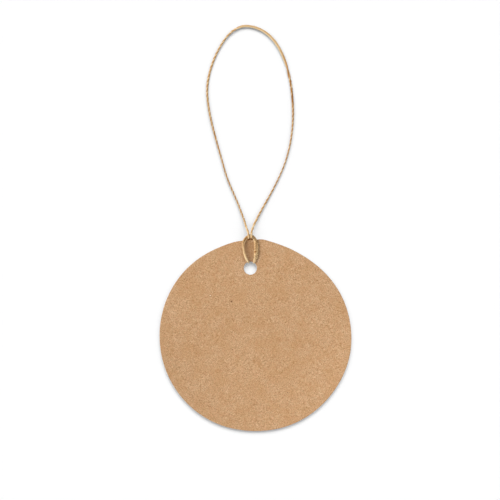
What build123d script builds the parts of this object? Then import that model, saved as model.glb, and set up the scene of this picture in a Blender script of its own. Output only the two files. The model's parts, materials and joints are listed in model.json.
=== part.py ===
from build123d import *
import os
from math import atan, cos, pi, radians, sin, sqrt, tan

# Round gift tag of kraft board on a loop of twine, lying face up on a table. The card's rim rests on the table
# at one side, and the knot behind the card holds its other side up.
# Millimetres. Seen from above, +X is to the right and +Y is the way the twine leaves the card. The origin is on
# the table, under the middle of the card.

# Card
card_diameter = 60.0
card_thickness = 0.5
card_edge_round = 0.06
hole_diameter = 4.1
hole_distance = 21.4
hole_turn = 4.1

# Twine
twine_diameter = 0.65

# Room between pieces
face_clearance = 0.1
hole_clearance = 0.15
edge_clearance = 0.35
crossing_clearance = 0.08

# Hitch, measured across the twine and along it from the middle of the hole
left_strand_across = -0.59
right_strand_across = 0.35
left_pass_across = -0.6
right_pass_across = 1.05
left_leg_across = -2.33
right_leg_across = 1.62
bridge_left_across = -1.2
bridge_right_across = 1.0
back_leg_bow = 0.25

# Each leg's points as shares of the way across from its pass to the leg's outer place, and of the way along
# from its pass to the bridge
left_leg_shares = [(0.46, 0.19), (0.78, 0.43), (0.98, 0.67), (1.0, 0.81), (0.78, 0.9)]
right_leg_shares = [(0.54, 0.22), (0.79, 0.45), (1.0, 0.7), (0.9, 0.91)]
back_leg_shares = [0.33, 0.67]

# Knot that joins the twine's two ends, behind the card
knot_across = 1.36
knot_hole_gap = 1.25
knot_length = 2.6
knot_width = 2.1
knot_height = 1.4
knot_side_round = 0.6
knot_end_round = 0.3
knot_strand_offset = 0.36
knot_lead = 0.8
knot_strand_share = 0.38

# Routes of the knot's two cut ends, across and along from where each leaves the knot
lower_tail_route = [(0.0, 0.0), (0.0, -0.93), (0.42, -2.03), (1.2, -2.93)]
upper_tail_route = [(0.0, 0.0), (0.0, 0.85), (0.31, 1.65), (0.85, 2.25)]

# Route of the free loop, across and along from where the twine leaves the hitch, and its height there as a
# share of the drop from the hitch to the table
loop_route = [
    (left_strand_across, 0.0, 1.0),
    (-0.63, 1.4, 1.02),
    (-1.25, 3.5, 0.97),
    (-2.3, 7.0, 0.84),
    (-4.5, 12.6, 0.57),
    (-7.25, 18.7, 0.3),
    (-8.8, 24.2, 0.12),
    (-10.6, 30.5, 0.03),
    (-12.25, 36.7, 0.0),
    (-13.4, 42.6, 0.0),
    (-13.7, 48.0, 0.0),
    (-12.5, 53.8, 0.0),
    (-10.2, 59.4, 0.0),
    (-6.9, 64.4, 0.0),
    (-3.1, 66.8, 0.0),
    (0.3, 66.85, 0.0),
    (4.6, 65.2, 0.0),
    (8.2, 61.6, 0.0),
    (10.75, 56.6, 0.0),
    (12.4, 50.8, 0.0),
    (13.25, 44.6, 0.0),
    (13.5, 38.2, 0.0),
    (12.85, 31.1, 0.03),
    (11.2, 24.4, 0.12),
    (8.7, 18.5, 0.31),
    (5.6, 12.7, 0.57),
    (2.85, 7.9, 0.8),
    (1.1, 4.3, 0.95),
    (0.45, 2.4, 1.01),
    (0.36, 1.2, 1.02),
    (right_strand_across, 0.0, 1.0),
]

# An arc takes up this share of the shorter run beside it, and a turn sharper than this wraps the card's edge
arc_run_share = 0.45
wrap_turn = 70.0

# Levels above the card's back face
card_radius = card_diameter / 2
hole_radius = hole_diameter / 2
twine_radius = twine_diameter / 2
wrap_radius = card_thickness / 2 + twine_radius
front_level = card_thickness + face_clearance + twine_radius
back_level = -face_clearance - twine_radius
fold_level = front_level + twine_diameter + crossing_clearance
strand_top = fold_level - twine_radius - crossing_clearance
knot_level = -face_clearance - knot_height / 2

# Places along the twine, from the middle of the hole
hole_across = -hole_distance * sin(radians(hole_turn))
hole_along = hole_distance * cos(radians(hole_turn))
edge_reach = sqrt(card_radius**2 - hole_across**2) - hole_along
strand_reach = edge_reach + edge_clearance + twine_radius
bridge_reach = strand_reach + twine_diameter + crossing_clearance
knot_low = hole_radius + knot_hole_gap
knot_high = knot_low + knot_length
knot_strand_across = knot_across - knot_strand_offset
knot_tail_across = knot_across + knot_strand_offset

# The card leans on the rounded lower edge of the knot
knot_foot = hole_along + knot_low + knot_end_round
lean = atan((knot_height + face_clearance) / (card_radius + knot_foot))
card_plane = Plane((0, 0, card_radius * sin(lean)), x_dir=(1, 0, 0), z_dir=(0, -sin(lean), cos(lean)))
hitch_plane = Plane(
    card_plane.from_local_coords((hole_across, hole_along, 0)),
    x_dir=card_plane.x_dir,
    z_dir=card_plane.z_dir,
)


def pass_along(across):
    """How far along a strand stands in the hole, just inside the hole's upper rim."""
    return sqrt(hole_radius**2 - across**2) - hole_clearance - twine_radius


def leg_points(pass_across, leg_across, shares):
    """Points of a leg on the front face, from its pass through the hole up to its shoulder."""
    start = pass_along(pass_across)
    return [
        (
            pass_across + across_share * (leg_across - pass_across),
            start + along_share * (bridge_reach - start),
            front_level,
        )
        for across_share, along_share in shares
    ]


def bend_radii(points):
    """The largest tangent arcs that the runs allow, and the card's own size where the twine wraps its edge."""
    corners = [Vector(*point) for point in points]
    radii = []
    for before, corner, after in zip(corners, corners[1:], corners[2:]):
        run_in = corner - before
        run_out = after - corner
        turn = run_in.get_angle(run_out)
        radius = arc_run_share * min(run_in.length, run_out.length) / tan(radians(turn) / 2)
        radii.append(min(radius, wrap_radius) if turn > wrap_turn else radius)
    return radii


def twine_stretch(node, plane, points):
    """A round stretch of twine along straight runs joined by tangent arcs, written under the node's name."""
    radii = bend_radii(points)
    with BuildPart() as stretch:
        with BuildLine(plane) as path:
            FilletPolyline(*points, radius=radii)
        with BuildSketch(path.line ^ 0):
            Circle(twine_radius)
        sweep()
    stretch.part.label = node
    export_step(stretch.part, f"parts/{node}.step")
    length = path.wire().length
    fill = stretch.part.volume / (pi * twine_radius**2 * length)
    print(f"{node}: {length:.2f} mm long, volume {fill:.4f} of section times length")
    print("  arc radii:", " ".join(f"{radius:.2f}" for radius in radii))


os.makedirs("parts", exist_ok=True)

# Card: a die-cut disc with one punched hole, its front edges rolled a little by the die
with BuildPart() as tag_card:
    with BuildSketch(card_plane):
        Circle(card_radius)
        with PolarLocations(hole_distance, 1, start_angle=90 + hole_turn):
            Circle(hole_radius, mode=Mode.SUBTRACT)
    extrude(amount=card_thickness)
    front_face = tag_card.faces().filter_by(GeomType.PLANE).sort_by(Axis.Z)[-1]
    fillet(front_face.edges(), card_edge_round)
tag_card.part.label = "tag_card"
export_step(tag_card.part, "parts/tag_card.step")

# Hitch: up behind the card, through the hole, over the front as a bight, and back through the hole to the knot
left_pass = (left_pass_across, pass_along(left_pass_across))
right_pass = (right_pass_across, pass_along(right_pass_across))
left_leg = leg_points(left_pass_across, left_leg_across, left_leg_shares)
right_leg = leg_points(right_pass_across, right_leg_across, right_leg_shares)
back_leg = [
    (left_strand_across - back_leg_bow, strand_reach + share * (left_pass[1] - strand_reach), back_level)
    for share in back_leg_shares
]
twine_stretch(
    "twine_hitch",
    hitch_plane,
    [
        (left_strand_across, strand_reach, strand_top),
        (left_strand_across, strand_reach, back_level),
        *back_leg,
        (*left_pass, back_level),
        (*left_pass, front_level),
        *left_leg,
        (bridge_left_across, bridge_reach, front_level),
        (bridge_right_across, bridge_reach, front_level),
        *reversed(right_leg),
        (*right_pass, front_level),
        (*right_pass, back_level),
        (knot_strand_across, knot_low - knot_lead, knot_level),
        (knot_strand_across, knot_low, knot_level),
    ],
)

# The hitch's other strand: from the knot to the card's edge, and up through the bight
twine_stretch(
    "twine_hitch_return",
    hitch_plane,
    [
        (knot_strand_across, knot_high, knot_level),
        (knot_strand_across, knot_high + knot_strand_share * (strand_reach - knot_high), knot_level),
        (right_strand_across, strand_reach, back_level),
        (right_strand_across, strand_reach, strand_top),
    ],
)

# Knot: a flat lump with a strand and a tail at each end
knot_plane = Plane(
    hitch_plane.from_local_coords((knot_across, knot_low, knot_level)),
    x_dir=hitch_plane.x_dir,
    z_dir=hitch_plane.y_dir,
)
with BuildPart() as end_knot:
    with BuildSketch(knot_plane):
        RectangleRounded(knot_width, knot_height, knot_side_round)
    extrude(amount=knot_length)
    knot_ends = end_knot.faces().filter_by(Axis(knot_plane.origin, knot_plane.z_dir))
    fillet(knot_ends.edges(), knot_end_round)
end_knot.part.label = "end_knot"
export_step(end_knot.part, "parts/end_knot.step")

# Tails: the twine's two cut ends, hidden under the card
for node, end, route in [
    ("knot_tail_lower", knot_low, lower_tail_route),
    ("knot_tail_upper", knot_high, upper_tail_route),
]:
    twine_stretch(
        node,
        hitch_plane,
        [(knot_tail_across + across, end + along, knot_level) for across, along in route],
    )

# Free loop: out over the bight, down to the table and round
fold_point = hitch_plane.from_local_coords((0, strand_reach, fold_level))
loop_drop = fold_point.Z - twine_radius
twine_stretch(
    "twine_loop",
    Plane.XY,
    [
        (fold_point.X + across, fold_point.Y + along, twine_radius + height_share * loop_drop)
        for across, along, height_share in loop_route
    ],
)

print(f"card leans {lean / radians(1):.3f} degrees")
print("hole centre", hitch_plane.origin, "normal", card_plane.z_dir)
print("fold axis through", fold_point)
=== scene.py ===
# %% [markdown]
# # A gift tag of kraft board on a loop of twine
# The tag is a die-cut disc of brown kraft board. A thin natural twine is looped through its one hole
# with a lark's head hitch, its two ends are tied behind the card, and the rest lies on the table as a
# long free loop. The CAD model holds the sizes and the joints. This script dresses it: it replaces the
# plain tubes by a twine of two twisted plies, and the plain disc by a slightly curled card with fibres,
# specks and a cut edge.

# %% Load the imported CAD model, which stays fixed
import json
import math
import random

import bmesh
import bpy
import numpy as np
from mathutils import Matrix, Vector, noise


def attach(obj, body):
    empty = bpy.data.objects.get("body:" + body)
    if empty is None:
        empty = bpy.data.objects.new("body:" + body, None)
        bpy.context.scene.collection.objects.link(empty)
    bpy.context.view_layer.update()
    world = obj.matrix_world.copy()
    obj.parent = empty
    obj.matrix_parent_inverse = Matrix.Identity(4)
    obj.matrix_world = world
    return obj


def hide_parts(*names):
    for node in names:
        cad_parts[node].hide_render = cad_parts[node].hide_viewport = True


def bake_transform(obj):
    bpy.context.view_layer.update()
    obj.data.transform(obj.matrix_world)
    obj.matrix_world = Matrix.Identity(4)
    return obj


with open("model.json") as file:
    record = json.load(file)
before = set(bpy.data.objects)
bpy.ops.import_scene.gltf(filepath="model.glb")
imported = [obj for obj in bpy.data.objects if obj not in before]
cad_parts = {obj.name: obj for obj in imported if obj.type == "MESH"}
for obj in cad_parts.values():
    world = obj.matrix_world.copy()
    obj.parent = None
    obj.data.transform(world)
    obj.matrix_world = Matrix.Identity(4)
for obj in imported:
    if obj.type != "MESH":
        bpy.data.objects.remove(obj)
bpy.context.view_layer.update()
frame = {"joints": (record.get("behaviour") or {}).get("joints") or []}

MM = 0.001
scene = bpy.context.scene
scene.view_settings.view_transform = "Standard"

# %% [markdown]
# ## Camera
# The photograph looks straight down at a tag that lies on a white table, from far enough away that the
# disc stays round. A long lens does the same here. A camera with no turn of its own looks down -Z with
# +Y at the top of the picture, which is the way this object's frame is laid out, so the camera only has
# to be lifted.

# %% Camera straight above the tag
photo_width = 156.9 * MM
photo_middle = Vector((-1.65, 27.04, 1.3)) * MM

camera_data = bpy.data.cameras.new("camera_above")
camera_data.lens = 135.0
camera_data.sensor_width = 36.0
camera_data.clip_start = 0.01
camera = bpy.data.objects.new("camera_above", camera_data)
camera_height = photo_width * camera_data.lens / camera_data.sensor_width
camera.location = photo_middle + Vector((0, 0, camera_height))
scene.collection.objects.link(camera)
scene.camera = camera
print("camera stands", round(camera_height / MM), "mm above the card")

# %% [markdown]
# ## Nodes and colours
# Materials are small trees of nodes. One function adds a node, sets its settings and fills its inputs,
# either with a number or with a link from another node. Colours are written as sRGB hex values, the way
# a paint program shows them, and one function turns them into the linear values that Blender works with.


# %% The helpers that every material uses
def add_node(tree, kind, inputs=None, **settings):
    """Adds a node to a tree and returns it. An input is a value, or a socket to link from."""
    node = tree.nodes.new(kind)
    for setting, value in settings.items():
        setattr(node, setting, value)
    for socket, value in (inputs or {}).items():
        if isinstance(value, bpy.types.NodeSocket):
            tree.links.new(value, node.inputs[socket])
        else:
            node.inputs[socket].default_value = value
    return node


def linear(hex_colour):
    """An sRGB hex colour as linear red, green, blue and alpha."""
    parts = [int(hex_colour[i : i + 2], 16) / 255 for i in (1, 3, 5)]
    return [p / 12.92 if p <= 0.04045 else ((p + 0.055) / 1.055) ** 2.4 for p in parts] + [1.0]


def new_material(name):
    """An empty material, its tree and its output's surface socket."""
    material = bpy.data.materials.new(name)
    material.use_nodes = True
    material.node_tree.nodes.clear()
    output = add_node(material.node_tree, "ShaderNodeOutputMaterial")
    return material, material.node_tree, output.inputs["Surface"]


print("the grey #808080 is", round(linear("#808080")[0], 3), "in linear light")

# %% [markdown]
# ## Light
# The object stands out from a white table by its colour and by the soft shadow round it. In the
# photograph the tag is lit from the left, but its shadow on the table is soft and even: darkest at the
# card's near rim, fainter at the sides, and just as soft beside the thin loop, which lies much lower
# than the card. One lamp can't give all that. Light linking can: a lamp has one collection of the
# objects that it lights, and another of the objects that throw a shadow in its light. So the tag has a
# lamp and a dome of its own, and the table has three lamps for the whole tag's shadow and two wider ones
# for the loop's alone. On each object the shares of its lamps add up to about one, so that a colour
# renders about as it is written. The shadow is a plain grey, so the pieces of the tag are also kept from
# bouncing brown light onto the table, with visible_diffuse.

# %% Soft lamps
lamps = {  # lights what, throws whose shadow, degrees from the far side, height, size, share of light
    "tag_lamp": ("tag", "all", -80, 36, 45, 0.525),
    "tag_dome": ("tag", "all", 0, 90, 160, 0.4),
    "table_lamp_far": ("table", "all", 0, 56, 36, 0.43),
    "table_lamp_left": ("table", "all", -60, 56, 36, 0.165),
    "table_lamp_right": ("table", "all", 60, 56, 36, 0.165),
    "loop_lamp_left": ("table", "loop", -75, 50, 60, 0.125),
    "loop_lamp_right": ("table", "loop", 75, 50, 60, 0.125),
}
lit = {target: bpy.data.collections.new("lit_" + target) for target in ("tag", "table")}
loop_shadow = bpy.data.collections.new("throws_the_loop_shadow")
for name, (target, shadow_of, turn, height, size, share) in lamps.items():
    lamp = bpy.data.lights.new(name, "SUN")
    lamp.energy = share * math.pi / math.sin(math.radians(height))
    lamp.angle = math.radians(size)
    holder = bpy.data.objects.new(name, lamp)
    holder.rotation_euler = (math.radians(height - 90), 0, math.radians(-turn))
    holder.light_linking.receiver_collection = lit[target]
    if shadow_of == "loop":
        holder.light_linking.blocker_collection = loop_shadow
    scene.collection.objects.link(holder)
    print(name, "gives the", target, share, "of its light")

# %% A white room, which the camera sees as plain white and which gives little light
room_share = 0.04
world = bpy.data.worlds.new("white_room")
world.use_nodes = True
world.node_tree.nodes.clear()
seen = add_node(world.node_tree, "ShaderNodeLightPath")
direct = add_node(
    world.node_tree, "ShaderNodeMath",
    {0: seen.outputs["Is Camera Ray"], 1: seen.outputs["Is Glossy Ray"]}, operation="MAXIMUM",
)
seen_through = add_node(
    world.node_tree, "ShaderNodeMath",
    {0: direct.outputs[0], 1: seen.outputs["Is Transmission Ray"]}, operation="MAXIMUM",
)
strength = add_node(
    world.node_tree, "ShaderNodeMapRange",
    {"Value": seen_through.outputs[0], "To Min": room_share, "To Max": 1.0},
)
room = add_node(
    world.node_tree, "ShaderNodeBackground", {"Color": (1, 1, 1, 1), "Strength": strength.outputs["Result"]}
)
add_node(world.node_tree, "ShaderNodeOutputWorld", {"Surface": room.outputs[0]})
scene.world = world
print("the room gives", room_share, "of the light")

# %% [markdown]
# ## Table
# The table only has to be white and to hold the shadow, so it is one large flat face in a matt white. It
# lies a hair below the tag, so that nothing of the tag is level with it.

# %% White table
table_half_width, table_gap, table_white = 3.0, 0.02 * MM, 0.96
table_paint, tree, surface = new_material("white_table")
matt = add_node(tree, "ShaderNodeBsdfDiffuse", {"Color": (table_white, table_white, table_white, 1)})
tree.links.new(matt.outputs[0], surface)

shape = bmesh.new()
table_place = Matrix.Translation((0, 0, -table_gap))
bmesh.ops.create_grid(shape, x_segments=1, y_segments=1, size=table_half_width, matrix=table_place)
table_mesh = bpy.data.meshes.new("table")
shape.to_mesh(table_mesh)
shape.free()
table = bpy.data.objects.new("table", table_mesh)
table_mesh.materials.append(table_paint)
scene.collection.objects.link(table)
lit["table"].objects.link(table)
print("table is", 2 * table_half_width, "m wide and gives back", table_white, "of its light")

# %% [markdown]
# ## The twine's route
# The whole twine is one line, from one cut end behind the card to the other: through the knot, up
# through the hole, over the card's front as a bight, back through the hole, up behind the card, round
# the free loop, down behind the card again and into the knot. Its points follow the CAD tubes, and the
# knot, a plain block in CAD, gets turns of its own. A NURBS spline takes them as control points and
# turns them into one smooth line, so no bend looks like bent wire. Some points are moved off the tubes.
# Beside the card's two edges they stand further out than the tube's, because the spline cuts inside its
# corners. The bight's left leg stands off the card, and the free loop drops soon after the hitch, rests
# on the table at two places and lifts a little between them, as the shadows in the photograph show.

# %% Where the hitch and the loop are measured from
twine_radius = 0.325 * MM
joints = {joint["name"]: joint for joint in frame["joints"]}
hole_middle = Vector(joints["tag_swing"]["pos_m"])
card_up = Vector(joints["tag_swing"]["axis"])
card_across = Vector((1, 0, 0))
card_along = card_up.cross(card_across)
fold_point = Vector(joints["loop_fold"]["pos_m"])


def by_hole(across, along, above):
    """A point in mm from the middle of the hole, on the card's back face."""
    return hole_middle + (card_across * across + card_along * along + card_up * above) * MM


def by_fold(across, along, height_share):
    """A point in mm from where the loop leaves the hitch, its height as a share of that place's."""
    height = twine_radius + height_share * (fold_point.z - twine_radius)
    return Vector((fold_point.x + across * MM, fold_point.y + along * MM, height))


print("hole at", [round(v / MM, 2) for v in hole_middle], "fold at", [round(v / MM, 2) for v in fold_point])

# %% The knot behind the card and the twine's two cut ends
knot_middle, knot_low, knot_length, knot_level = 1.36, 3.3, 2.6, -0.8
knot_half = [
    (0.36, -0.25, 0.0), (0.36, 0.35, -0.42), (0.40, 0.85, -0.30), (0.70, 1.35, 0.45),
    (0.66, 1.95, -0.15), (0.30, 2.25, -0.42), (-0.30, 2.25, -0.42), (-0.66, 1.95, -0.15),
    (-0.70, 1.35, 0.45), (-0.40, 0.85, -0.30), (-0.36, 0.35, -0.42), (-0.36, -0.25, 0.0),
]
lower_half = [(knot_middle + a, knot_low + b, knot_level + c) for a, b, c in knot_half]
upper_half = [
    (knot_middle + a, knot_low + knot_length - b, knot_level - c) for a, b, c in reversed(knot_half)
]
lower_tail = [(2.92, 0.37, -0.8), (2.14, 1.27, -0.8), (1.72, 2.37, -0.8)]
upper_tail = [(1.72, 6.75, -0.8), (2.03, 7.55, -0.8), (2.57, 8.15, -0.8)]
print("each half of the knot has", len(knot_half), "points")

# %% The hitch: a bight on the front, and two strands that come up behind the card's rim
right_leg = [
    (1.0, 2.5, -0.8), (1.0, 1.85, -0.6), (1.0, 1.6, 0.25), (1.2, 2.0, 0.82), (1.75, 3.3, 0.8),
    (1.86, 5.2, 0.85), (1.84, 7.2, 0.85),
]
arch = [
    (1.75, 8.3, 0.88), (1.38, 9.15, 0.9), (0.78, 9.88, 0.9), (0.0, 10.4, 0.9), (-0.86, 9.87, 0.9),
    (-1.68, 9.08, 0.95), (-2.18, 8.2, 1.1),
]
left_leg = [
    (-2.26, 7.1, 1.25), (-2.02, 5.15, 1.36), (-1.45, 3.1, 1.36), (-0.62, 1.95, 1.22), (-0.5, 1.66, 0.25),
    (-0.6, 1.95, -0.6),
]
left_strand = [
    (-0.84, 4.0, -0.43), (-0.84, 6.7, -0.43), (-0.62, 9.2, -0.75), (-0.59, 9.65, 0.0), (-0.59, 9.5, 1.0),
    (-0.59, 9.65, 1.85),
]
right_strand = [(0.37, 9.65, 1.85), (0.36, 9.5, 1.0), (0.36, 9.65, 0.0), (0.42, 9.2, -0.75), (0.9, 7.2, -0.8)]
print("the bight has", len(right_leg + arch + left_leg), "points")

# %% The free loop, and the whole route
free_part = [
    (-0.6, 1.3, 1.05), (-0.68, 2.1, 0.87), (-1.25, 3.5, 0.5), (-2.3, 7.0, 0.19), (-4.5, 12.6, 0.12),
    (-7.25, 18.7, 0.11), (-8.8, 24.2, 0.1), (-10.6, 30.5, 0.1), (-12.25, 36.7, 0.1), (-13.4, 42.6, 0.08),
    (-13.7, 48.0, 0.03), (-12.5, 53.8, 0.0), (-10.2, 59.4, 0.09), (-6.9, 64.4, 0.17), (-3.1, 66.8, 0.19),
    (0.3, 66.85, 0.19), (4.6, 65.2, 0.18), (8.2, 61.6, 0.15), (10.75, 56.6, 0.07), (12.4, 50.8, 0.0),
    (13.25, 44.6, 0.06), (13.5, 38.2, 0.1), (12.85, 31.1, 0.1), (11.2, 24.4, 0.1), (8.7, 18.5, 0.11),
    (5.6, 12.7, 0.12), (2.85, 7.9, 0.18), (1.1, 4.3, 0.4), (0.45, 2.6, 0.74), (0.37, 1.9, 0.93),
    (0.35, 1.3, 1.05),
]
first_part = lower_tail + lower_half + right_leg + arch + left_leg + left_strand
last_part = right_strand + upper_half + upper_tail
route = [by_hole(*p) for p in first_part] + [by_fold(*p) for p in free_part]
route += [by_hole(*p) for p in last_part]
print("the route has", len(route), "points")

# %% One smooth line through the whole route
twine_curve = bpy.data.curves.new("twine_line", "CURVE")
twine_curve.dimensions = "3D"
twine_curve.resolution_u = 64
spline = twine_curve.splines.new("NURBS")
spline.points.add(len(route) - 1)
for control, place in zip(spline.points, route):
    control.co = (*place, 1.0)
spline.order_u = 3
spline.use_endpoint_u = True
line_mesh = bpy.data.meshes.new_from_object(bpy.data.objects.new("twine_line", twine_curve))

step = 0.1 * MM
line = [line_mesh.vertices[0].co.copy()]
for vertex in line_mesh.vertices:
    if (vertex.co - line[-1]).length >= step:
        line.append(vertex.co.copy())
line = np.array(line)
along = np.concatenate([[0], np.cumsum(np.linalg.norm(np.diff(line, axis=0), axis=1))])
print("the twine is", round(along[-1] / MM, 1), "mm long, read at", len(line), "points")

# %% Directions across the line, carried along it without any twist of their own
heading = np.gradient(line, axis=0)
heading /= np.linalg.norm(heading, axis=1)[:, None]
top = int(np.argmax(line[:, 1]))
inward = np.zeros_like(line)
inward[top] = np.cross(heading[top], (0, 0, 1))
for way in (1, -1):
    for i in range(top + way, len(line) if way > 0 else -1, way):
        carried = inward[i - way] - heading[i] * np.dot(inward[i - way], heading[i])
        inward[i] = carried / np.linalg.norm(carried)
upward = np.cross(heading, inward)
print("the loop's top is point", top, "at", (line[top] / MM).round(1), "mm")

# %% [markdown]
# ## Two plies twisted together
# The twine is two thin strands laid round each other. A screw modifier could twist a straight pair, but
# this twine isn't alike all along: it is unevenly spun, and tied. So the plies follow the line, and short
# tables say how they lie at each place, in millimetres from the top of the loop. The knot is at -110 and
# 85, the bight's right leg from -104 to -97, its arch from there to -92, its left leg to -86, the free
# loop from -75 to 77, and the strands behind the rim just beyond its two ends. The twist has come loose
# at the loop's upper right, where the plies lie side by side, and in the bight. There the right leg is
# wide, flat and frayed. Behind the rim the strands are squeezed flat, and their deep shade is painted on
# them in dark brown; the shade on the arch is painted in brown too.

# %% How the twine is laid: twist, thickness, spread of the plies and flatness
from_top = (along - along[top]) / MM


def at_each_point(table):
    """A table's value at every point of the line, with straight runs between its rows."""
    return np.interp(from_top, *zip(*table))


twist = 2 * math.pi * at_each_point([  # turns counted from the loop's top
    (-118, -57.0), (-112, -54.0), (-105.4, -50.6), (-103.6, -50.08), (-97.9, -50.0), (-91.8, -49.56),
    (-86.3, -49.5), (-80, -46.5), (-74, -44.0), (-70, -43.0), (-9, -3.0), (-3, -0.1), (0, 0.0),
    (17, 0.0), (20, 0.25), (23, 0.6), (27, 2.2), (70, 30.0), (75, 31.5), (85, 37.5), (91, 40.5),
])
thickness = MM * at_each_point([
    (-118, 0.55), (-107, 0.55), (-105.8, 0.36), (-105, 0.42), (-104, 0.9), (-102, 1.35), (-100, 1.35),
    (-98, 1.2), (-95, 1.25), (-93.4, 1.15), (-92, 0.9), (-90.5, 0.58), (-86, 0.62), (-85, 0.55),
    (-84.3, 0.46), (-82, 0.65), (-79, 0.7), (-77.8, 1.25), (-76.6, 1.25), (-76, 0.8), (-75, 0.8),
    (-74.2, 0.66), (-72, 0.7), (-68, 0.64), (-60, 0.52), (-46, 0.56), (-38, 0.66), (-30, 0.68),
    (-21, 0.76), (-12, 0.68), (-8, 0.66), (-2, 0.72), (4, 0.75), (20, 0.78), (25, 0.8), (29, 0.76),
    (36, 0.64), (42, 0.55), (54, 0.5), (62, 0.57), (70, 0.72), (74, 0.74), (76.2, 0.66), (77, 0.8),
    (78, 0.8), (78.6, 1.25), (79.8, 1.25), (81, 0.7), (82, 0.55), (91, 0.55),
])
spread = at_each_point([  # how far each ply stands off the line, as a share of the thickness
    (-106, 0.2), (-104.5, 0.12), (-98, 0.13), (-97, 0.2), (-93, 0.2), (-91, 0.15), (-86, 0.13),
    (-84, 0.22), (-75, 0.2), (-73, 0.17), (-68, 0.23), (-9, 0.23), (-3, 0.2), (20, 0.2), (27, 0.23),
    (68, 0.23), (73, 0.17), (77, 0.2), (91, 0.22),
])
flatness = at_each_point([  # share of its height that the twine keeps, square to the card
    (-105.5, 1.0), (-104, 0.55), (-98, 0.6), (-95, 0.55), (-93, 0.7), (-91, 0.85), (-85, 1.0),
    (-79, 1.0), (-77.8, 0.45), (-76.6, 0.45), (-76, 1.0), (77.9, 1.0), (78.5, 0.45), (79.7, 0.45),
    (80.8, 1.0),
])
ply_offset = thickness * spread
ply_radius = thickness * (0.5 - spread)
print("turns in all:", round((twist[-1] - twist[0]) / (2 * math.pi), 1))
print("thickness", round(thickness.min() / MM, 2), "to", round(thickness.max() / MM, 2), "mm")

# %% How the twine is coloured and frayed
tones = [  # 0 is pale straw and 1 dark gold, for each ply
    at_each_point([
        (-105, 0.1), (-103, 0.25), (-101, 0.4), (-98, 0.4), (-97, 0.3), (-95, 0.35), (-89.5, 0.3),
        (-88, 0.15), (-86.8, 0.0), (-85, 0.0), (-83, 0.2), (-75, 0.2), (-69, 0.2), (-64, 0.0), (-3, 0.0),
        (0, 0.15), (14, 0.15), (18, 0.0),
    ]),
    at_each_point([
        (-105, 0.2), (-103, 0.25), (-101, 0.42), (-98, 0.45), (-97, 0.4), (-95, 0.6), (-92, 0.4),
        (-89.5, 0.35), (-88, 0.25), (-86.8, 0.0), (-85, 0.0), (-82, 1.0), (-75, 1.0), (-74, 0.45),
        (-69, 0.6), (-64, 1.0), (-40, 1.0), (-30, 0.75), (-3, 0.7), (0, 0.45), (14, 0.45), (18, 0.7),
        (25, 1.0), (64, 1.0), (69, 0.6), (76, 0.45), (77.5, 1.0),
    ]),
]
# Besides the bark's brown in the fibre, this table paints shade: on the bight's arch, and deep shade behind
# the rim, where it goes up to 6.
brown_and_painted_shade = at_each_point([  # share of the bark's brown in the fibre, and of the shade behind the rim
    (-118, 0.3), (-105.5, 0.1), (-104, 0.0), (-102, 0.2), (-98.5, 0.15), (-97, 0.05), (-95.8, 0.4),
    (-95, 0.7), (-94.2, 0.7), (-93.4, 0.95), (-92.2, 0.95), (-91.2, 0.5), (-90.2, 0.1), (-88, 0.0),
    (-84, 0.0), (-82, 0.4), (-79, 0.8), (-78.2, 6.0), (-75, 6.0), (-74.5, 0.1), (-72, 0.12), (-66, 0.3),
    (-60, 0.3), (-57, 0.55), (-53, 0.45), (-48, 0.35), (-40, 0.5), (-30, 0.3), (-22, 0.35), (-14, 0.2),
    (-6, 0.15), (0, 0.0), (14, 0.0), (17, 0.45), (20, 0.45), (25, 0.85), (29, 0.8), (34, 0.5),
    (40, 0.35), (54, 0.45), (62, 0.35), (70, 0.2), (74, 0.15), (76.6, 0.1), (77.1, 6.0), (80.2, 6.0),
    (81, 0.8), (91, 0.3),
])
# Painted shade: one ply of the bight's right leg a little darker, for that leg's shaded side
one_ply_painted_shade = at_each_point([(-104, 0.0), (-102, 0.06), (-98, 0.06), (-96, 0.0)])  # one ply alone
fray = at_each_point([  # 0 is well spun, 1 has come apart into tufts
    (-105.5, 0.0), (-104.5, 1.0), (-98, 1.0), (-97, 0.3), (-92, 0.2), (-84, 0.2), (-80, 0.0),
])
print("frayed for", round(float(np.sum(np.gradient(from_top)[fray > 0.5])), 1), "mm")

# %% Where the twine folds into the free loop
rise_along, rise_above = 9.56, 0.55
rise_places = [by_hole(across, rise_along, rise_above) for across in (-0.59, 0.36)]
rise_gaps = [np.linalg.norm(line - np.array(place), axis=1) for place in rise_places]
loop_start, loop_end = (int(np.argmin(gap)) for gap in rise_gaps)
overlap = 4  # points by which each piece runs into the other
spans = {
    "twine_tied_to_card": [(0, loop_start + overlap), (loop_end - overlap, len(line))],
    "twine_free_loop": [(loop_start - overlap, loop_end + overlap)],
}
print("free loop from point", loop_start, "to", loop_end, "of", len(line))


# %% Tubes along lines, and what the twine's material reads from them
def tube_mesh(name, strands, bevel_resolution):
    """A mesh of round tubes, one along each strand's points, with each point's own radius."""
    curve = bpy.data.curves.new(name, "CURVE")
    curve.dimensions = "3D"
    curve.bevel_depth = 1.0
    curve.bevel_resolution = bevel_resolution
    for points, radii in strands:
        tube = curve.splines.new("POLY")
        tube.points.add(len(points) - 1)
        tube.points.foreach_set("co", np.column_stack([points, np.ones(len(points))]).ravel())
        tube.points.foreach_set("radius", np.asarray(radii, dtype=float))
    return bpy.data.meshes.new_from_object(bpy.data.objects.new(name, curve))


def write_attributes(mesh, fibre, ply, depth, brown_and_shade_share):
    """Tells the twine's material where each vertex lies on its ply."""
    mesh.attributes.new("fibre", "FLOAT_VECTOR", "POINT").data.foreach_set("vector", np.ravel(fibre))
    mesh.attributes.new("ply", "FLOAT", "POINT").data.foreach_set("value", np.ravel(ply))
    mesh.attributes.new("depth", "FLOAT", "POINT").data.foreach_set("value", np.ravel(depth))
    mesh.attributes.new("brown_and_painted_shade", "FLOAT", "POINT").data.foreach_set("value", np.ravel(brown_and_shade_share))


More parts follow.
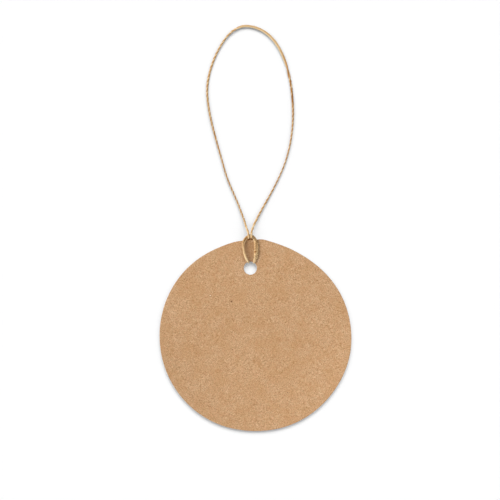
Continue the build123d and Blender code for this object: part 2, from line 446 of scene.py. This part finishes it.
# %% Plies with the lumps, ridges and tufts of loosely spun fibre
ply_sides = 12
ring_angle = np.arange(ply_sides) / ply_sides * 2 * math.pi
card_normal = np.array(card_up)
fibre_turn = 0.75  # turns of the fibre in its ply for each turn of the plies
second_ply_turn, second_ply_shift = 2.0, 400  # so that the two plies don't look alike
ridge_waves = [(0.05, 5, 0), (0.04, 8, 1)]  # height as a share of the radius, ridges round the ply, turn
lump_share, lump_pitch = 0.16, (1.3, 1.3, 0.9)
# The tufts are painted paler where they stand out and browner in the dips between them: painted light and
# shade.
tuft_share, tuft_pitch, tuft_light_and_shade = 0.5, (1.8, 1.8, 2.7), 3.4


def ply_line(first, last, ply):
    """The middle of one ply between two points of the twine's line."""
    angle = twist[first:last, None] + ply * math.pi
    aside = inward[first:last] * np.cos(angle) + upward[first:last] * np.sin(angle)
    return line[first:last] + aside * ply_offset[first:last, None]


def ply_noise(round_ply, pitch):
    """Smooth noise, from about -1 to 1, at each point round a ply and along it."""
    places = (round_ply * pitch).reshape(-1, 3)
    return np.reshape([noise.noise(place) for place in places], round_ply.shape[:2])


def plies_mesh(name, spans):
    """Both plies along these spans, and the attributes that their material reads."""
    strands = [(first, last, ply, ply_line(first, last, ply)) for first, last in spans for ply in (0, 1)]
    mesh = tube_mesh(name, [(points, ply_radius[first:last]) for first, last, ply, points in strands], 4)
    place = np.empty(len(mesh.vertices) * 3)
    mesh.vertices.foreach_get("co", place)
    place = place.reshape(-1, 3)
    fibres, plies, depths, dark_shares, row = [], [], [], [], 0
    for first, last, ply, points in strands:
        count = (last - first) * ply_sides
        rings = place[row : row + count].reshape(-1, ply_sides, 3)
        angle = ring_angle + (ply * second_ply_turn + fibre_turn * twist[first:last])[:, None]
        far = np.broadcast_to(from_top[first:last, None] + second_ply_shift * ply, angle.shape)
        round_ply = np.stack([np.cos(angle), np.sin(angle), far], axis=-1)
        ridges = sum(share * np.cos(waves * angle + turn) for share, waves, turn in ridge_waves)
        tufts = ply_noise(round_ply, tuft_pitch) * fray[first:last, None]
        swell = 1 + ridges + lump_share * ply_noise(round_ply, lump_pitch) + tuft_share * tufts
        rings[:] = points[:, None] + (rings - points[:, None]) * swell[..., None]
        above = (rings - line[first:last, None]) @ card_normal
        rings -= (above * (1 - flatness[first:last, None]))[..., None] * card_normal
        reach = np.linalg.norm(rings - line[first:last, None], axis=-1) / (thickness[first:last, None] / 2)
        section = ply_radius[first:last, None, None] / MM * round_ply[..., :2]
        fibres.append(np.concatenate([section, far[..., None]], axis=-1).reshape(-1, 3))
        plies.append(np.repeat(tones[ply][first:last], ply_sides))
        depths.append(reach.ravel())
        browned_and_shaded = (brown_and_painted_shade[first:last] + ply * one_ply_painted_shade[first:last])[:, None] - tuft_light_and_shade * tufts
        dark_shares.append(np.maximum(browned_and_shaded, 0).ravel())
        row += count
    mesh.vertices.foreach_set("co", place.ravel())
    write_attributes(mesh, *(np.concatenate(values) for values in (fibres, plies, depths, dark_shares)))
    print(name, "has", row, "vertices")
    return mesh


# %% [markdown]
# ## Loose hairs
# Spun fibre never lies quite close: short ends stand off the plies, a few on each millimetre and many
# where the right leg has frayed. A particle system could grow them, but then they aren't part of the
# mesh. Here each hair is a thin curved tube of four points, placed by seeded chance, so that every run
# gives the same ones.

# %% Hairs, as many on each millimetre as the table says
chance = random.Random(5)
hairs_per_mm = at_each_point([(-118, 4), (-105.5, 5), (-104.5, 22), (-98, 16), (-96, 5), (91, 4)])
hairs_before = np.cumsum(hairs_per_mm * np.gradient(from_top))
hair_radius = 0.011 * MM
hair_places, hair_taper = (0, 0.33, 0.67, 1), [1.0, 0.9, 0.7, 0.25]
hair_reach = (0.25, 0.9)  # in mm, and the next three are shares of it
hair_lift, hair_sway, hair_bend = (0.15, 0.7), 0.8, 0.35
hair_root_share = 0.34  # of the twine's thickness
frayed_lift_loss, frayed_growth = 0.6, 4.5
hair_brown, frayed_brown = 0.1, 0.9
rim_along, front_above, back_above = 9.5, 0.6, -0.1  # from the hole, in mm


def through_card(start, tip):
    """True if a hair would stick into the card or out of its other side."""
    heights = [card_up.dot(Vector(place) - hole_middle) / MM for place in (start, tip)]
    beyond_rim = card_along.dot(Vector(tip) - hole_middle) / MM > rim_along
    return not beyond_rim and (min(heights) < front_above and max(heights) > back_above)


def hairs_mesh(name, spans):
    """Short curved hairs, thick at the ply and fine at the tip."""
    hairs, fibres, dark_shares, frays = [], [], [], []
    for first, last in spans:
        for _ in range(int(hairs_before[last - 1] - hairs_before[first])):
            drawn = chance.uniform(hairs_before[first], hairs_before[last - 1])
            i = int(np.searchsorted(hairs_before, drawn))
            angle = chance.uniform(0, 2 * math.pi)
            out = inward[i] * math.cos(angle) + upward[i] * math.sin(angle)
            turn = np.cross(heading[i], out) * chance.uniform(-hair_sway, hair_sway)
            reach = chance.uniform(*hair_reach) * MM
            way = heading[i] * chance.choice((-1, 1))
            lift = chance.uniform(*hair_lift) * (1 - frayed_lift_loss * fray[i])
            start = line[i] + out * thickness[i] * hair_root_share
            points = [
                start + way * reach * t + (out * lift + turn * t) * reach * t * (1 - hair_bend * t)
                for t in hair_places
            ]
            if through_card(points[0], points[-1]):
                continue
            points = np.array(points)
            above = (points - line[i]) @ card_normal
            points -= np.outer(above * (1 - flatness[i]), card_normal)
            points[:, 2] = np.maximum(points[:, 2], hair_radius)
            sliver = hair_radius * (1 + frayed_growth * fray[i])
            hairs.append((points, [sliver * share for share in hair_taper]))
            fibres.append((angle, 0.0, from_top[i]))
            dark_shares.append(hair_brown + chance.choice((0, frayed_brown)) * fray[i])
            frays.append(fray[i])
    mesh = tube_mesh(name, hairs, 0)
    count = len(mesh.vertices)
    each = count // len(hairs)
    hair_tones = np.repeat([chance.random() * (1 - frayed) for frayed in frays], each)
    fibres, dark_shares = np.repeat(fibres, each, axis=0), np.repeat(dark_shares, each)
    write_attributes(mesh, fibres, hair_tones, np.ones(count), dark_shares)
    print(name, "has", len(hairs), "hairs of", each, "vertices")
    return mesh


# %% The two pieces of twine
def twine_piece(name, spans):
    """Plies and hairs joined into one object, with their open ends closed."""
    shape = bmesh.new()
    for part in (plies_mesh(name + "_plies", spans), hairs_mesh(name + "_hairs", spans)):
        shape.from_mesh(part)
    bmesh.ops.holes_fill(shape, edges=[edge for edge in shape.edges if edge.is_boundary], sides=0)
    bmesh.ops.recalc_face_normals(shape, faces=shape.faces)
    mesh = bpy.data.meshes.new(name)
    shape.to_mesh(mesh)
    shape.free()
    mesh.shade_smooth()
    piece = bpy.data.objects.new(name, mesh)
    scene.collection.objects.link(piece)
    triangles = sum(len(face.vertices) - 2 for face in mesh.polygons)
    print(name, "has", triangles, "triangles")
    return piece


tied_twine = twine_piece("twine_tied_to_card", spans["twine_tied_to_card"])
free_loop = twine_piece("twine_free_loop", spans["twine_free_loop"])

# %% [markdown]
# ## Natural twine
# The twine looks like jute, a stiff golden fibre. It isn't dyed, so its plies differ: one is pale straw,
# the other a darker gold, and both have browner patches. The same brown also paints shade on the bight's
# arch and deep shade behind the card's rim. Fine streaks run along the fibres, and the groove between the
# plies is painted dark, as shade. The pattern has to follow the twist, so it reads the attributes
# written above: the place round the ply and along it in millimetres.

# %% Jute twine: streaks along the fibre, and longer patches
jute, tree, surface = new_material("jute_twine")
fibre = add_node(tree, "ShaderNodeAttribute", attribute_name="fibre")
ply = add_node(tree, "ShaderNodeAttribute", attribute_name="ply")
depth = add_node(tree, "ShaderNodeAttribute", attribute_name="depth")
brown_and_shade_share = add_node(tree, "ShaderNodeAttribute", attribute_name="brown_and_painted_shade")
streak_width, streak_length = 0.06, 1.6  # a real fibre is 0.02 wide, too fine to show
patches_per_mm, patch_length = 1.5, 3.5
streak_place = add_node(
    tree, "ShaderNodeMapping",
    {"Vector": fibre.outputs["Vector"], "Scale": (1 / streak_width, 1 / streak_width, 1 / streak_length)},
)
streaks = add_node(
    tree, "ShaderNodeTexNoise",
    {"Vector": streak_place.outputs[0], "Scale": 1.0, "Detail": 2.0, "Roughness": 0.6},
)
patch_place = add_node(
    tree, "ShaderNodeMapping",
    {"Vector": fibre.outputs["Vector"], "Scale": (patches_per_mm, patches_per_mm, 1 / patch_length)},
)
patches = add_node(
    tree, "ShaderNodeTexNoise",
    {"Vector": patch_place.outputs[0], "Scale": 1.0, "Detail": 2.0, "Roughness": 0.5},
)
print("streaks", streak_width, "by", streak_length, "mm, patches", patch_length, "mm long")

# %% Jute twine: the two plies' own tones, then brown with painted shade, streaks and painted shade in the groove
ply_tone = add_node(
    tree, "ShaderNodeMix",
    {"Factor": ply.outputs["Fac"], "A": linear("#ffe4b2"), "B": linear("#c88836")}, data_type="RGBA",
)
patch_share = add_node(
    tree, "ShaderNodeMapRange",
    {"Value": patches.outputs["Fac"], "From Min": 0.35, "From Max": 0.7, "To Min": 0.15, "To Max": 1.5},
    clamp=False,
)
# Brown patches, and the painted shade that the same table gives the arch and the strands behind the rim
browned_and_shaded = add_node(
    tree, "ShaderNodeMath", {0: patch_share.outputs[0], 1: brown_and_shade_share.outputs["Fac"]}, operation="MULTIPLY",
    use_clamp=True,
)
patched_and_shaded = add_node(
    tree, "ShaderNodeMix",
    {"Factor": browned_and_shaded.outputs[0], "A": ply_tone.outputs["Result"], "B": linear("#8f5a1e")},
    data_type="RGBA",
)
streak_share = add_node(
    tree, "ShaderNodeMapRange",
    {"Value": streaks.outputs["Fac"], "From Min": 0.58, "From Max": 0.3, "To Max": 0.5},
)
streaked = add_node(
    tree, "ShaderNodeMix",
    {"Factor": streak_share.outputs[0], "A": patched_and_shaded.outputs["Result"], "B": linear("#c98837")},
    data_type="RGBA",
)
# Painted shade in the groove between the plies, darker nearer the twine's middle line
groove_painted_shade = add_node(
    tree, "ShaderNodeMapRange",
    {"Value": depth.outputs["Fac"], "From Min": 0.7, "From Max": 0.3, "To Max": 0.75},
)
groove_shaded = add_node(
    tree, "ShaderNodeMix",
    {"Factor": groove_painted_shade.outputs[0], "A": streaked.outputs["Result"], "B": linear("#6e4318")},
    data_type="RGBA",
)
print("jute twine has", len(tree.nodes), "nodes for its colour")

# %% Jute twine: a dull surface with the relief of its fibres
relief = add_node(
    tree, "ShaderNodeBump", {"Height": streaks.outputs["Fac"], "Strength": 0.6, "Distance": 0.03 * MM}
)
dull = add_node(
    tree, "ShaderNodeBsdfPrincipled",
    {"Base Color": groove_shaded.outputs["Result"], "Roughness": 0.7, "IOR": 1.5, "Specular IOR Level": 0.3,
     "Sheen Weight": 0.15, "Normal": relief.outputs[0]},
)
tree.links.new(dull.outputs[0], surface)
for piece in (tied_twine, free_loop):
    piece.data.materials.append(jute)
    lit["tag"].objects.link(piece)
    piece.visible_diffuse = False
loop_shadow.objects.link(free_loop)
print("jute twine on", tied_twine.name, "and", free_loop.name)

# %% [markdown]
# ## The card
# The card is one disc, punched from a sheet of board. It could be a flattened cylinder with a hole cut
# by a boolean, but that leaves long thin faces. Here the hole and the rim are two circles of as many
# points, a bridge joins them, and cuts between them give the card even rings, so that it can curl a
# little, as paper does: its near half lies flat on the table and its near rim lifts off again. The
# photographed card isn't quite round either, so its rim swells and dips by up to 0.6 mm, where a short
# list says. The die pulls the front edge down as it cuts, so the front edge is rounder than the back
# one.

# %% Disc with its punched hole
card_radius, card_thickness, hole_radius = 30 * MM, 0.5 * MM, 2.05 * MM
hole_distance, hole_turn = 21.4 * MM, math.radians(4.1)
card_sides, card_rings = 256, 30
rim_swells = [  # where and how wide in degrees, how far out
    (57, 18, -0.62 * MM), (71, 4, 0.08 * MM), (81, 4, 0.28 * MM), (86.6, 3, 0.5 * MM),
    (93.5, 3, 0.1 * MM), (101, 5, 0.3 * MM), (140, 20, 0.18 * MM), (-92, 14, -0.26 * MM),
    (-12, 14, 0.24 * MM),
]
swell_power = 8  # how soon a swell dies out towards the middle

disc = bmesh.new()
hole_x, hole_y = -hole_distance * math.sin(hole_turn), hole_distance * math.cos(hole_turn)
hole_place = Matrix.Translation((hole_x, hole_y, 0))
bmesh.ops.create_circle(disc, segments=card_sides, radius=hole_radius, matrix=hole_place)
bmesh.ops.create_circle(disc, segments=card_sides, radius=card_radius)
spokes = bmesh.ops.bridge_loops(disc, edges=disc.edges[:])["edges"]
bmesh.ops.subdivide_edges(disc, edges=spokes, cuts=card_rings, use_grid_fill=True)
for vertex in disc.verts:
    angle = math.degrees(math.atan2(vertex.co.y, vertex.co.x))
    out = sum(swell * math.exp(-0.5 * ((angle - where) / width) ** 2) for where, width, swell in rim_swells)
    vertex.co.xy *= 1 + out * (vertex.co.xy.length / card_radius) ** swell_power / card_radius
lifted = bmesh.ops.extrude_face_region(disc, geom=disc.faces[:])["geom"]
front = [item for item in lifted if isinstance(item, bmesh.types.BMVert)]
bmesh.ops.translate(disc, verts=front, vec=(0, 0, card_thickness))
bmesh.ops.recalc_face_normals(disc, faces=disc.faces)
print("card has", len(disc.verts), "vertices before its edges are rounded")

# %% Rounded front edge, crisp back edge
edge_rounds = [(card_thickness, 0.09 * MM, 4), (0, 0.03 * MM, 2)]  # level, radius and segments
sharp_angle, level_room = 1, 0.01 * MM
sheet_facing, flat_facing = 0.5, 0.999  # how far a face looks up or down
for level, radius, segments in edge_rounds:
    corner = [
        edge for edge in disc.edges
        if edge.calc_face_angle(0) > sharp_angle and all(abs(v.co.z - level) < level_room for v in edge.verts)
    ]
    bmesh.ops.bevel(
        disc, geom=corner, offset=radius, segments=segments, profile=0.5, material=-1, affect="EDGES"
    )
for face in disc.faces:
    facing = abs(face.normal.z)
    face.material_index = 0 if facing > sheet_facing else 1
    face.smooth = facing < flat_facing
print("card has", len(disc.verts), "vertices with its edges rounded")

# %% Slight curl, and the card in its place
curl_top, curl_low, curl_rim, curl_power = 14 * MM, -10 * MM, 0.95 * MM, 3
card_lean = math.atan2(-card_up.y, card_up.z)
for vertex in disc.verts:
    down = min(1.0, max(0.0, (curl_top - vertex.co.y) / (curl_top - curl_low)))
    table_level = -(card_radius + vertex.co.y) * math.sin(card_lean)
    dish = curl_rim * (vertex.co.xy.length / card_radius) ** curl_power
    vertex.co.z += (table_level + dish) * down * down * (3 - 2 * down)
card_middle = by_hole(-hole_place.translation.x / MM, -hole_place.translation.y / MM, 0)
card_place = Matrix((card_across, card_along, card_up)).transposed().to_4x4()
card_place.translation = card_middle
bmesh.ops.transform(disc, matrix=card_place, verts=disc.verts)
card_mesh = bpy.data.meshes.new("kraft_card")
disc.to_mesh(card_mesh)
disc.free()
card = bpy.data.objects.new("kraft_card", card_mesh)
scene.collection.objects.link(card)
lit["tag"].objects.link(card)
card.visible_diffuse = False
print("card has", len(card_mesh.polygons), "faces, middle at", [round(v / MM, 3) for v in card_middle])

# %% [markdown]
# ## Kraft board
# Kraft board is pressed from unbleached wood fibre. It is matt and middle brown, but never one brown:
# fine mottling from the pulp, a warmer tint here and there, pale and dark fibres lying every way, broad
# clouds where the sheet is denser, and a few dark specks of bark or pale flecks. Each is a pattern of
# its own real size, laid over the last. Painted shade darkens the board under the hitch, where the
# bight's legs shade it, and the three specks that stand out in the photograph have places of their own.

# %% Kraft board: brown pulp, denser clouds and a warmer tint
kraft, tree, surface = new_material("kraft_board")
place = add_node(tree, "ShaderNodeTexCoord")
in_mm = add_node(
    tree, "ShaderNodeVectorMath", {"Vector": place.outputs["Object"], "Scale": 1 / MM}, operation="SCALE"
)
pulp_size, cloud_size, tint_size = 0.34, 4.5, 0.8
pulp = add_node(
    tree, "ShaderNodeTexNoise",
    {"Vector": in_mm.outputs[0], "Scale": 1 / pulp_size, "Detail": 3.0, "Roughness": 0.85},
)
clouds = add_node(
    tree, "ShaderNodeTexNoise",
    {"Vector": in_mm.outputs[0], "Scale": 1 / cloud_size, "Detail": 2.0, "Roughness": 0.5},
)
pulp_share = add_node(
    tree, "ShaderNodeMapRange", {"Value": pulp.outputs["Fac"], "From Min": 0.31, "From Max": 0.69}
)
tone = add_node(
    tree, "ShaderNodeMix",
    {"Factor": pulp_share.outputs[0], "A": linear("#885614"), "B": linear("#fad3a8")}, data_type="RGBA",
)
cloud_share = add_node(
    tree, "ShaderNodeMapRange",
    {"Value": clouds.outputs["Fac"], "From Min": 0.35, "From Max": 0.65, "To Max": 0.35},
)
tone = add_node(
    tree, "ShaderNodeMix",
    {"Factor": cloud_share.outputs[0], "A": tone.outputs["Result"], "B": linear("#bc884e")},
    data_type="RGBA",
)
tints = add_node(
    tree, "ShaderNodeTexNoise",
    {"Vector": in_mm.outputs[0], "Scale": 1 / tint_size, "Detail": 2.0, "Roughness": 0.8, "Distortion": 0.5},
)
tint_share = add_node(
    tree, "ShaderNodeMapRange",
    {"Value": tints.outputs["Fac"], "From Min": 0.42, "From Max": 0.62, "To Max": 0.4},
)
tone = add_node(
    tree, "ShaderNodeMix",
    {"Factor": tint_share.outputs[0], "A": tone.outputs["Result"], "B": linear("#d09a72")},
    data_type="RGBA",
)
print("pulp", pulp_size, "mm, tint", tint_size, "mm and clouds", cloud_size, "mm across")

# %% Kraft board: painted shade on the strip under the hitch
painted_shade_middle, painted_shade_half = (-1.95, 26.5, 2.0), (2.55, 4.1, 5.0)  # in mm
painted_shade_place = add_node(
    tree, "ShaderNodeMapping",
    {"Vector": in_mm.outputs[0], "Location": painted_shade_middle, "Scale": painted_shade_half}, vector_type="TEXTURE",
)
from_hitch = add_node(tree, "ShaderNodeVectorMath", {"Vector": painted_shade_place.outputs[0]}, operation="LENGTH")
painted_shade_share = add_node(
    tree, "ShaderNodeMapRange",
    {"Value": from_hitch.outputs["Value"], "From Min": 1.2, "From Max": 0.75, "To Max": 0.4},
    interpolation_type="SMOOTHSTEP",
)
# Painted shade: the bight's legs shade the board between and beside them, and this darkens it
tone = add_node(
    tree, "ShaderNodeMix",
    {"Factor": painted_shade_share.outputs[0], "A": tone.outputs["Result"], "B": linear("#8f6036")},
    data_type="RGBA",
)
# the size of the painted shade under the hitch
print("pressed strip is", 2 * painted_shade_half[0], "by", 2 * painted_shade_half[1], "mm")

# %% Kraft board: pale and dark fibres that lie four ways and wander a little
fibre_length, fibre_width = 1.3, 0.12  # drawn several times wider than a real wood fibre, which wouldn't show
wander_size, wander_reach = 1.8, 0.9
fibre_layers = [  # turn in degrees, colour, share
    (14, "#e6c9a6", 0.4), (66, "#97622c", 0.35), (109, "#e6c9a6", 0.4), (158, "#97622c", 0.35),
]
wander = add_node(
    tree, "ShaderNodeTexNoise", {"Vector": in_mm.outputs[0], "Scale": 1 / wander_size, "Detail": 1.0}
)
curved = add_node(
    tree, "ShaderNodeVectorMath",
    {0: wander.outputs["Color"], 1: (wander_reach, wander_reach, wander_reach), 2: in_mm.outputs[0]},
    operation="MULTIPLY_ADD",
)
fibre_heights = []
for turn, hue, share in fibre_layers:
    laid = add_node(
        tree, "ShaderNodeMapping",
        {"Vector": curved.outputs[0], "Rotation": (0, 0, math.radians(turn)), "Location": (turn, 0, 0),
         "Scale": (fibre_length, fibre_width, 1.0)}, vector_type="TEXTURE",
    )
    fibres = add_node(tree, "ShaderNodeTexNoise", {"Vector": laid.outputs[0], "Scale": 1.0, "Detail": 1.0})
    fibre_share = add_node(
        tree, "ShaderNodeMapRange",
        {"Value": fibres.outputs["Fac"], "From Min": 0.6, "From Max": 0.72, "To Max": share},
    )
    tone = add_node(
        tree, "ShaderNodeMix",
        {"Factor": fibre_share.outputs[0], "A": tone.outputs["Result"], "B": linear(hue)},
        data_type="RGBA",
    )
    fibre_heights.append(fibre_share.outputs[0])
print("fibres", fibre_length, "mm long in", len(fibre_layers), "directions")

# %% Kraft board: small specks of bark and pale flecks, scattered by a cell pattern
speck_spacing, speck_radius, speck_core_share = 3.4, 0.17, 0.4
scattered_specks = [("Red", 0.75, "#7a5236"), ("Green", 0.85, "#ecd9bf")]  # cells above this value have one
specks = add_node(tree, "ShaderNodeTexVoronoi", {"Vector": in_mm.outputs[0], "Scale": 1 / speck_spacing})
speck_kind = add_node(tree, "ShaderNodeSeparateColor", {"Color": specks.outputs["Color"]})
near_speck = add_node(
    tree, "ShaderNodeMapRange",
    {"Value": specks.outputs["Distance"], "From Min": speck_radius / speck_spacing,
     "From Max": speck_core_share * speck_radius / speck_spacing},
)
for channel, least, hue in scattered_specks:
    chosen = add_node(
        tree, "ShaderNodeMath", {0: speck_kind.outputs[channel], 1: least}, operation="GREATER_THAN"
    )
    speck_share = add_node(
        tree, "ShaderNodeMath", {0: near_speck.outputs[0], 1: chosen.outputs[0]}, operation="MULTIPLY"
    )
    tone = add_node(
        tree, "ShaderNodeMix",
        {"Factor": speck_share.outputs[0], "A": tone.outputs["Result"], "B": linear(hue)},
        data_type="RGBA",
    )
print("specks in some of the cells, which are about", speck_spacing, "mm apart")

# %% Kraft board: the three specks that stand out
placed_specks = [  # where on the card and radius in mm, colour
    ((-7.46, 10.88), 0.36, "#6b4526"), ((10.12, -17.68), 0.2, "#6b4526"), ((-14.05, 12.76), 0.2, "#f3e2cc"),
]
through_sheet = 50  # mm, so that a speck doesn't depend on the card's height
for where, radius, hue in placed_specks:
    by_speck = add_node(
        tree, "ShaderNodeMapping",
        {"Vector": in_mm.outputs[0], "Location": (*where, 0), "Scale": (radius, radius, through_sheet)},
        vector_type="TEXTURE",
    )
    from_speck = add_node(tree, "ShaderNodeVectorMath", {"Vector": by_speck.outputs[0]}, operation="LENGTH")
    speck_share = add_node(
        tree, "ShaderNodeMapRange",
        {"Value": from_speck.outputs["Value"], "From Min": 1.0, "From Max": 0.5, "To Max": 0.9},
    )
    tone = add_node(
        tree, "ShaderNodeMix",
        {"Factor": speck_share.outputs[0], "A": tone.outputs["Result"], "B": linear(hue)},
        data_type="RGBA",
    )
print(len(placed_specks), "specks placed by hand")

# %% Kraft board: a matt surface with a faint relief of pulp and fibres
height = pulp.outputs["Fac"]
for fibre_height in fibre_heights:
    height = add_node(tree, "ShaderNodeMath", {0: height, 1: fibre_height}, operation="ADD").outputs[0]
relief = add_node(tree, "ShaderNodeBump", {"Height": height, "Strength": 0.15, "Distance": 0.02 * MM})
matt = add_node(
    tree, "ShaderNodeBsdfPrincipled",
    {"Base Color": tone.outputs["Result"], "Roughness": 0.9, "IOR": 1.5, "Specular IOR Level": 0.25,
     "Normal": relief.outputs[0]},
)
tree.links.new(matt.outputs[0], surface)
card_mesh.materials.append(kraft)
print("kraft board has", len(tree.nodes), "nodes")

# %% [markdown]
# ## Cut edge
# Where the die cut the board, its layers show: the same pulp in thin level streaks, a little paler and
# rougher than the face. The faces of the rim and of the hole's wall have a material of their own for
# this, with a noise that is drawn out along the sheet and turned with the card's lean, so that the
# layers run along the edge.

# %% Cut edge of kraft board: torn pulp in thin layers
cut_edge, tree, surface = new_material("kraft_board_cut_edge")
place = add_node(tree, "ShaderNodeTexCoord")
layer_height, layer_length = 0.09, 1.2
layers_per_metre = [1 / size / MM for size in (layer_length, layer_length, layer_height)]
level = add_node(
    tree, "ShaderNodeMapping", {"Vector": place.outputs["Object"], "Rotation": (-card_lean, 0, 0)}
)
layered = add_node(
    tree, "ShaderNodeMapping",
    {"Vector": level.outputs[0], "Scale": layers_per_metre},
)
layers = add_node(
    tree, "ShaderNodeTexNoise", {"Vector": layered.outputs[0], "Scale": 1.0, "Detail": 3.0, "Roughness": 0.65}
)
layer_share = add_node(
    tree, "ShaderNodeMapRange", {"Value": layers.outputs["Fac"], "From Min": 0.3, "From Max": 0.7}
)
tone = add_node(
    tree, "ShaderNodeMix",
    {"Factor": layer_share.outputs[0], "A": linear("#a97c52"), "B": linear("#d8b48d")}, data_type="RGBA",
)
relief = add_node(
    tree, "ShaderNodeBump", {"Height": layers.outputs["Fac"], "Strength": 0.8, "Distance": 0.03 * MM}
)
rough = add_node(
    tree, "ShaderNodeBsdfPrincipled",
    {"Base Color": tone.outputs["Result"], "Roughness": 0.95, "IOR": 1.5, "Specular IOR Level": 0.2,
     "Normal": relief.outputs[0]},
)
tree.links.new(rough.outputs[0], surface)
card_mesh.materials.append(cut_edge)
print("cut edge in layers of", layer_height, "mm")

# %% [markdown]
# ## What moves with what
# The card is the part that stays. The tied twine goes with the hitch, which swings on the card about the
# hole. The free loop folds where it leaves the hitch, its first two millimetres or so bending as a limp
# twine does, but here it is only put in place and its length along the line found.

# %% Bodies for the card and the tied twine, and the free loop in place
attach(card, "card")
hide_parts("tag_card")
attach(tied_twine, "hitch")
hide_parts("twine_hitch", "twine_hitch_return", "end_knot", "knot_tail_lower", "knot_tail_upper")
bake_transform(free_loop)
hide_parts("twine_loop")
loop_length = along[loop_end] - along[loop_start]
print("free loop is", round(loop_length / MM, 1), "mm along its line")
